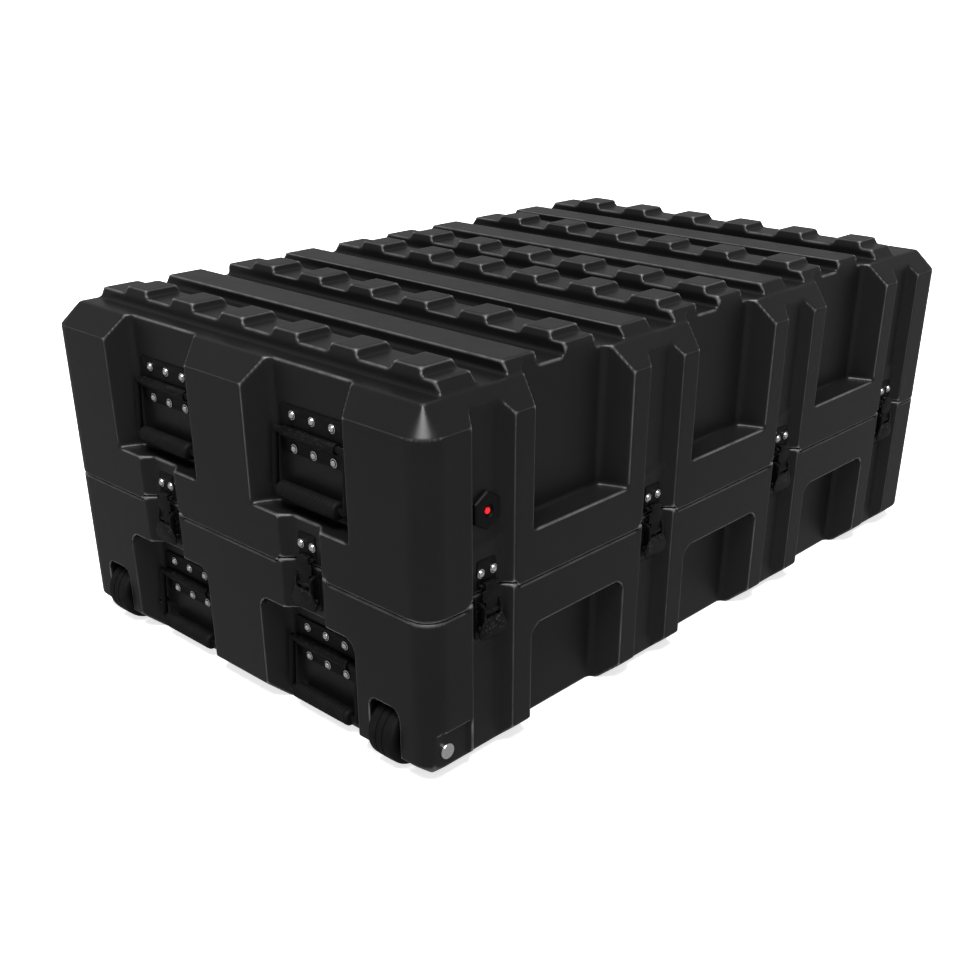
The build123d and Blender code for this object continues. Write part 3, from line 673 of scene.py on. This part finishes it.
class CASE_OT_wheels(bpy.types.Operator):
    """Builds the edge wheels with grooved treads and dished hubs"""

    bl_idname = "transit_case.wheels"
    bl_label = "Edge Wheels"

    def execute(self, context):
        settings = context.scene.case_wheels
        tyre = rubber("wheel_rubber", settings.colour)
        for k in (1, 2):
            node = f"wheel_{k}"
            low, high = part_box(node)
            centre = (low + high) / 2
            radius = (high.z - low.z) / 2
            hub = (high.y - low.y) / 2
            work = bmesh.new()
            lathe(work, self.wheel_profile(radius, hub, settings.grooves), centre, (0, 1, 0), 96)
            obj = mesh_object(f"edge_wheel_{k}", work)
            smooth(obj, 45)
            finished(obj, body_of_node(node), "wheel_rubber", tyre, node)
        return {"FINISHED"}

    def wheel_profile(self, radius, hub, grooves):
        """Half outline from the hub's face over the tread, mirrored for the other side."""
        tread = hub - 4.4 * MM
        side = [
            (hub, 6.6 * MM), (hub, 12.5 * MM), (hub - 1.0 * MM, 13.6 * MM), (tread - 3.6 * MM, 14.2 * MM),
            (tread - 4.0 * MM, 16.0 * MM), (tread - 4.0 * MM, radius * 0.62), (tread - 1.6 * MM, radius * 0.68),
            (tread, radius * 0.72), (tread, radius * 0.86),
        ]
        corner = 5.5 * MM
        for i in range(1, 7):
            turn = math.pi / 2 * i / 6
            along = tread - corner * (1 - math.cos(turn))
            side.append((along, radius - corner + corner * math.sin(turn) - 0.4 * MM))
        flat = []
        span = tread - corner
        for g in range(grooves):
            at = span * (1 - 2 * (g + 1) / (grooves + 1))
            flat += [
                (at + 1.6 * MM, radius), (at + 1.1 * MM, radius - 1.4 * MM),
                (at - 1.1 * MM, radius - 1.4 * MM), (at - 1.6 * MM, radius),
            ]
        other = [(-along, r) for along, r in reversed(side)]
        return side + flat + other


class CASE_OT_valve(bpy.types.Operator):
    """Builds the relief valve, its red release button and its spring"""

    bl_idname = "transit_case.valve"
    bl_label = "Relief Valve"

    def execute(self, context):
        settings = context.scene.case_valve
        black = glossy_plastic("valve_plastic", settings.body, 0.5)
        red = glossy_plastic("red_plastic", settings.button, 0.22)
        rounded_hardware("valve_body", "valve_housing", 0.8 * MM, black, "valve_plastic", 3)
        for node, material in (("valve_nut", black), ("valve_button", red)):
            mesh = NODES[node].data
            mesh.materials.clear()
            mesh.materials.append(material)
        self.coil(bright_metal("spring_steel", context.scene.case_hardware.bright))
        return {"FINISHED"}

    def coil(self, material):
        """The button's spring, smoothed and given a mesh of its own; its shortening towards the far end as the
        button goes in is not set up here.
        """
        node = "valve_spring"
        obj = smooth(welded_copy(node, "valve_coil"))
        finished(obj, body_of_node(node), "bright_steel", material, node)
        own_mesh(obj)


class CASE_OT_stage(bpy.types.Operator):
    """Adds the studio floor, the lights and the camera"""

    bl_idname = "transit_case.stage"
    bl_label = "Studio Stage"

    def execute(self, context):
        settings = context.scene.case_stage
        self.floor(settings)
        self.lights(context.scene, settings)
        self.camera(context.scene, settings)
        return {"FINISHED"}

    def floor(self, settings):
        work = bmesh.new()
        bmesh.ops.create_grid(work, x_segments=8, y_segments=8, size=FLOOR_REACH)
        floor = mesh_object("studio_floor", work)
        floor.location.z = CAD_BOX[0].z
        floor.data.materials.append(studio_floor("floor_paper", settings.floor, settings.glow))
        floor.visible_glossy = False

    def lights(self, scene, settings):
        world = bpy.data.worlds.new("studio")
        world.use_nodes = True
        background = world.node_tree.nodes["Background"]
        background.inputs["Color"].default_value = (1.0, 1.0, 1.0, 1.0)
        background.inputs["Strength"].default_value = settings.ambient
        scene.world = world
        data = bpy.data.lights.new("overhead_light", "SUN")
        data.energy = settings.overhead
        data.angle = settings.softness
        obj = link(bpy.data.objects.new("overhead_light", data))
        obj.rotation_euler = Vector(settings.overhead_from).to_track_quat("Z", "Y").to_euler()
        self.area("end_light", (-3.6, 0.9, 1.5), (-0.6, 0.0, 0.25), 1.8, 3.0)

    def area(self, name, at, aim, size, power):
        data = bpy.data.lights.new(name, "AREA")
        data.shape = "SQUARE"
        data.size = size
        data.energy = power
        obj = link(bpy.data.objects.new(name, data))
        obj.location = at
        obj.rotation_euler = (Vector(aim) - Vector(at)).to_track_quat("-Z", "Y").to_euler()

    def camera(self, scene, settings):
        data = bpy.data.cameras.new("camera")
        data.lens = settings.lens
        data.sensor_width = 36.0
        data.shift_y = settings.rise
        data.clip_end = 60.0
        camera = link(bpy.data.objects.new("camera", data))
        camera.location = settings.camera_at
        look = Vector((
            math.cos(settings.dip) * math.cos(settings.heading),
            math.cos(settings.dip) * math.sin(settings.heading),
            -math.sin(settings.dip),
        ))
        camera.rotation_euler = look.to_track_quat("-Z", "Y").to_euler()
        scene.camera = camera
        scene.view_settings.view_transform = "Standard"


OPERATORS = (
    CASE_OT_shells, CASE_OT_latches, CASE_OT_rivets, CASE_OT_handles,
    CASE_OT_wheels, CASE_OT_valve, CASE_OT_stage,
)
SETTINGS = {
    "case_shells": CaseShellSettings,
    "case_hardware": HardwareSettings,
    "case_handles": HandleSettings,
    "case_wheels": WheelSettings,
    "case_valve": ValveSettings,
    "case_stage": StageSettings,
}


class CASE_PT_panel(bpy.types.Panel):
    """Buttons for every group of pieces"""

    bl_label = "Transit Case"
    bl_space_type = "VIEW_3D"
    bl_region_type = "UI"
    bl_category = "Transit Case"

    def draw(self, context):
        for name, group in SETTINGS.items():
            box = self.layout.box()
            for prop in group.__annotations__:
                box.prop(getattr(context.scene, name), prop)
        for operator in OPERATORS:
            self.layout.operator(operator.bl_idname)


def register():
    for cls in (*SETTINGS.values(), *OPERATORS, CASE_PT_panel):
        bpy.utils.register_class(cls)
    for name, group in SETTINGS.items():
        setattr(bpy.types.Scene, name, PointerProperty(type=group))


def unregister():
    for name in SETTINGS:
        delattr(bpy.types.Scene, name)
    for cls in reversed((*SETTINGS.values(), *OPERATORS, CASE_PT_panel)):
        bpy.utils.unregister_class(cls)


def main():
    register()
    for operator in OPERATORS:
        group, name = operator.bl_idname.split(".")
        getattr(getattr(bpy.ops, group), name)()


if __name__ == "__main__":
    main()
